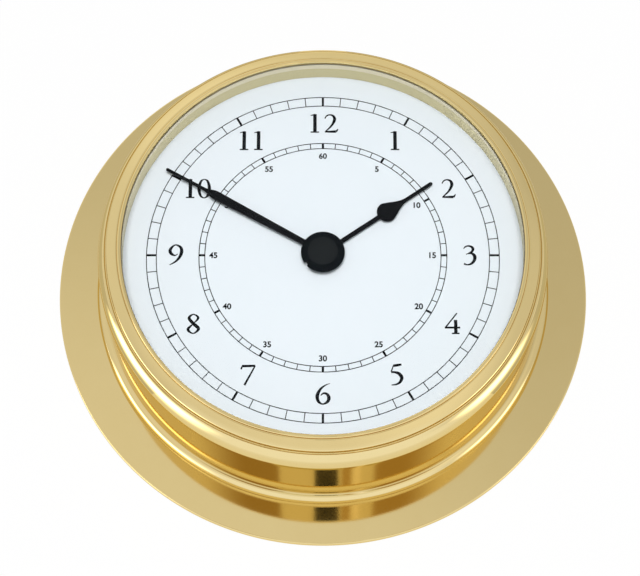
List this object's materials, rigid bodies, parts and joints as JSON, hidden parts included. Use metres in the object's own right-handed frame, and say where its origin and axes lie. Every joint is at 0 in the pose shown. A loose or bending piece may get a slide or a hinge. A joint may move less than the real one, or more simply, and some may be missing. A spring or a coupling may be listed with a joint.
{
  "type": "bulkhead clock",
  "caption": "Round brass bulkhead clock with a flat wall flange, beaded drum, stepped bezel, white dial, black spade hands and a battery quartz movement set from behind.",
  "frame": {"origin": "centre of the flange's back face", "axes": "+Z out through the glass, +Y to twelve o'clock, +X to three o'clock; the clock lies on its back"},
  "size_m": [0.15, 0.15, 0.0357],
  "materials": {
    "polished_brass": "mirror polished and lacquered",
    "plain_brass": "turned",
    "clear_glass": "clear flat glass",
    "black_rubber": "matte",
    "white_dial": "satin white with black print",
    "black_lacquer": "satin black",
    "black_plastic": "fine spark texture",
    "ivory_plastic": "moulded",
    "bright_steel": "plated",
    "dark_magnet": "sintered",
    "copper_wire": "enamelled copper",
    "green_board": "solder mask",
    "cell_wrap": "plain printed sleeve"
  },
  "bodies": {
    "case": {"base_flange": "polished_brass", "case_drum": "polished_brass", "dial_seat_ring": "polished_brass", "base_screws": "plain_brass", "bezel_ring": "polished_brass", "crystal": "clear_glass", "crystal_gasket": "black_rubber", "reflector_ring": "polished_brass", "dial_plate": "white_dial", "dial_washer": "black_rubber", "movement_housing": "black_plastic", "movement_cover": "black_plastic", "centre_bush": "plain_brass", "bush_nut": "black_lacquer", "wheel_plate": "ivory_plastic", "stator": "bright_steel", "coil_core": "bright_steel", "coil_bobbin": "black_plastic", "coil_winding": "copper_wire", "circuit_board": "green_board", "chip_blob": "black_plastic", "quartz_can": "bright_steel", "battery_cell": "cell_wrap", "battery_contact_plus": "bright_steel", "battery_contact_minus": "bright_steel"},
    "minute": {"minute_arbor": "bright_steel", "minute_hand": "black_lacquer", "hand_cap": "black_lacquer", "clutch_spring": "bright_steel"},
    "hour": {"hour_wheel": "ivory_plastic", "hour_hand": "black_lacquer"},
    "motion": {"motion_wheel": "ivory_plastic"},
    "knob": {"setting_knob": "black_plastic"},
    "centre": {"centre_wheel": "ivory_plastic"},
    "third": {"third_wheel": "ivory_plastic"},
    "fourth": {"fourth_wheel": "ivory_plastic"},
    "fifth": {"fifth_wheel": "ivory_plastic"},
    "rotor": {"rotor": "dark_magnet"}
  },
  "joints": [
    {"name": "minute_spin", "type": "hinge", "parent": "case", "child": "minute", "pos_m": [0, 0, 0], "axis": [0, 0, -1], "continuous": true},
    {"name": "hour_spin", "type": "hinge", "parent": "case", "child": "hour", "pos_m": [0, 0, 0], "axis": [0, 0, -1], "continuous": true},
    {"name": "motion_spin", "type": "hinge", "parent": "case", "child": "motion", "pos_m": [0.00495, 0.00495, 0], "axis": [0, 0, -1], "continuous": true},
    {"name": "knob_spin", "type": "hinge", "parent": "case", "child": "knob", "pos_m": [0.01195, 0.00495, 0], "axis": [0, 0, -1], "continuous": true},
    {"name": "centre_spin", "type": "hinge", "parent": "case", "child": "centre", "pos_m": [0, 0, 0], "axis": [0, 0, -1], "continuous": true},
    {"name": "third_spin", "type": "hinge", "parent": "case", "child": "third", "pos_m": [-0.00729, 0.00421, 0], "axis": [0, 0, -1], "continuous": true},
    {"name": "fourth_spin", "type": "hinge", "parent": "case", "child": "fourth", "pos_m": [-0.00855, 0.01139, 0], "axis": [0, 0, -1], "continuous": true},
    {"name": "fifth_spin", "type": "hinge", "parent": "case", "child": "fifth", "pos_m": [-0.01525, 0.01318, 0], "axis": [0, 0, -1], "continuous": true},
    {"name": "rotor_spin", "type": "hinge", "parent": "case", "child": "rotor", "pos_m": [-0.02065, 0.01318, 0], "axis": [0, 0, -1], "continuous": true}
  ],
  "couplings": [
    {"joint": "hour_spin", "follows": "minute_spin", "ratio": 0.083333},
    {"joint": "motion_spin", "follows": "minute_spin", "ratio": -0.33333},
    {"joint": "knob_spin", "follows": "minute_spin", "ratio": 1},
    {"joint": "fifth_spin", "follows": "rotor_spin", "ratio": -0.2},
    {"joint": "fourth_spin", "follows": "rotor_spin", "ratio": 0.033333},
    {"joint": "third_spin", "follows": "rotor_spin", "ratio": -0.0041667},
    {"joint": "centre_spin", "follows": "rotor_spin", "ratio": 0.00055556}
  ]
}
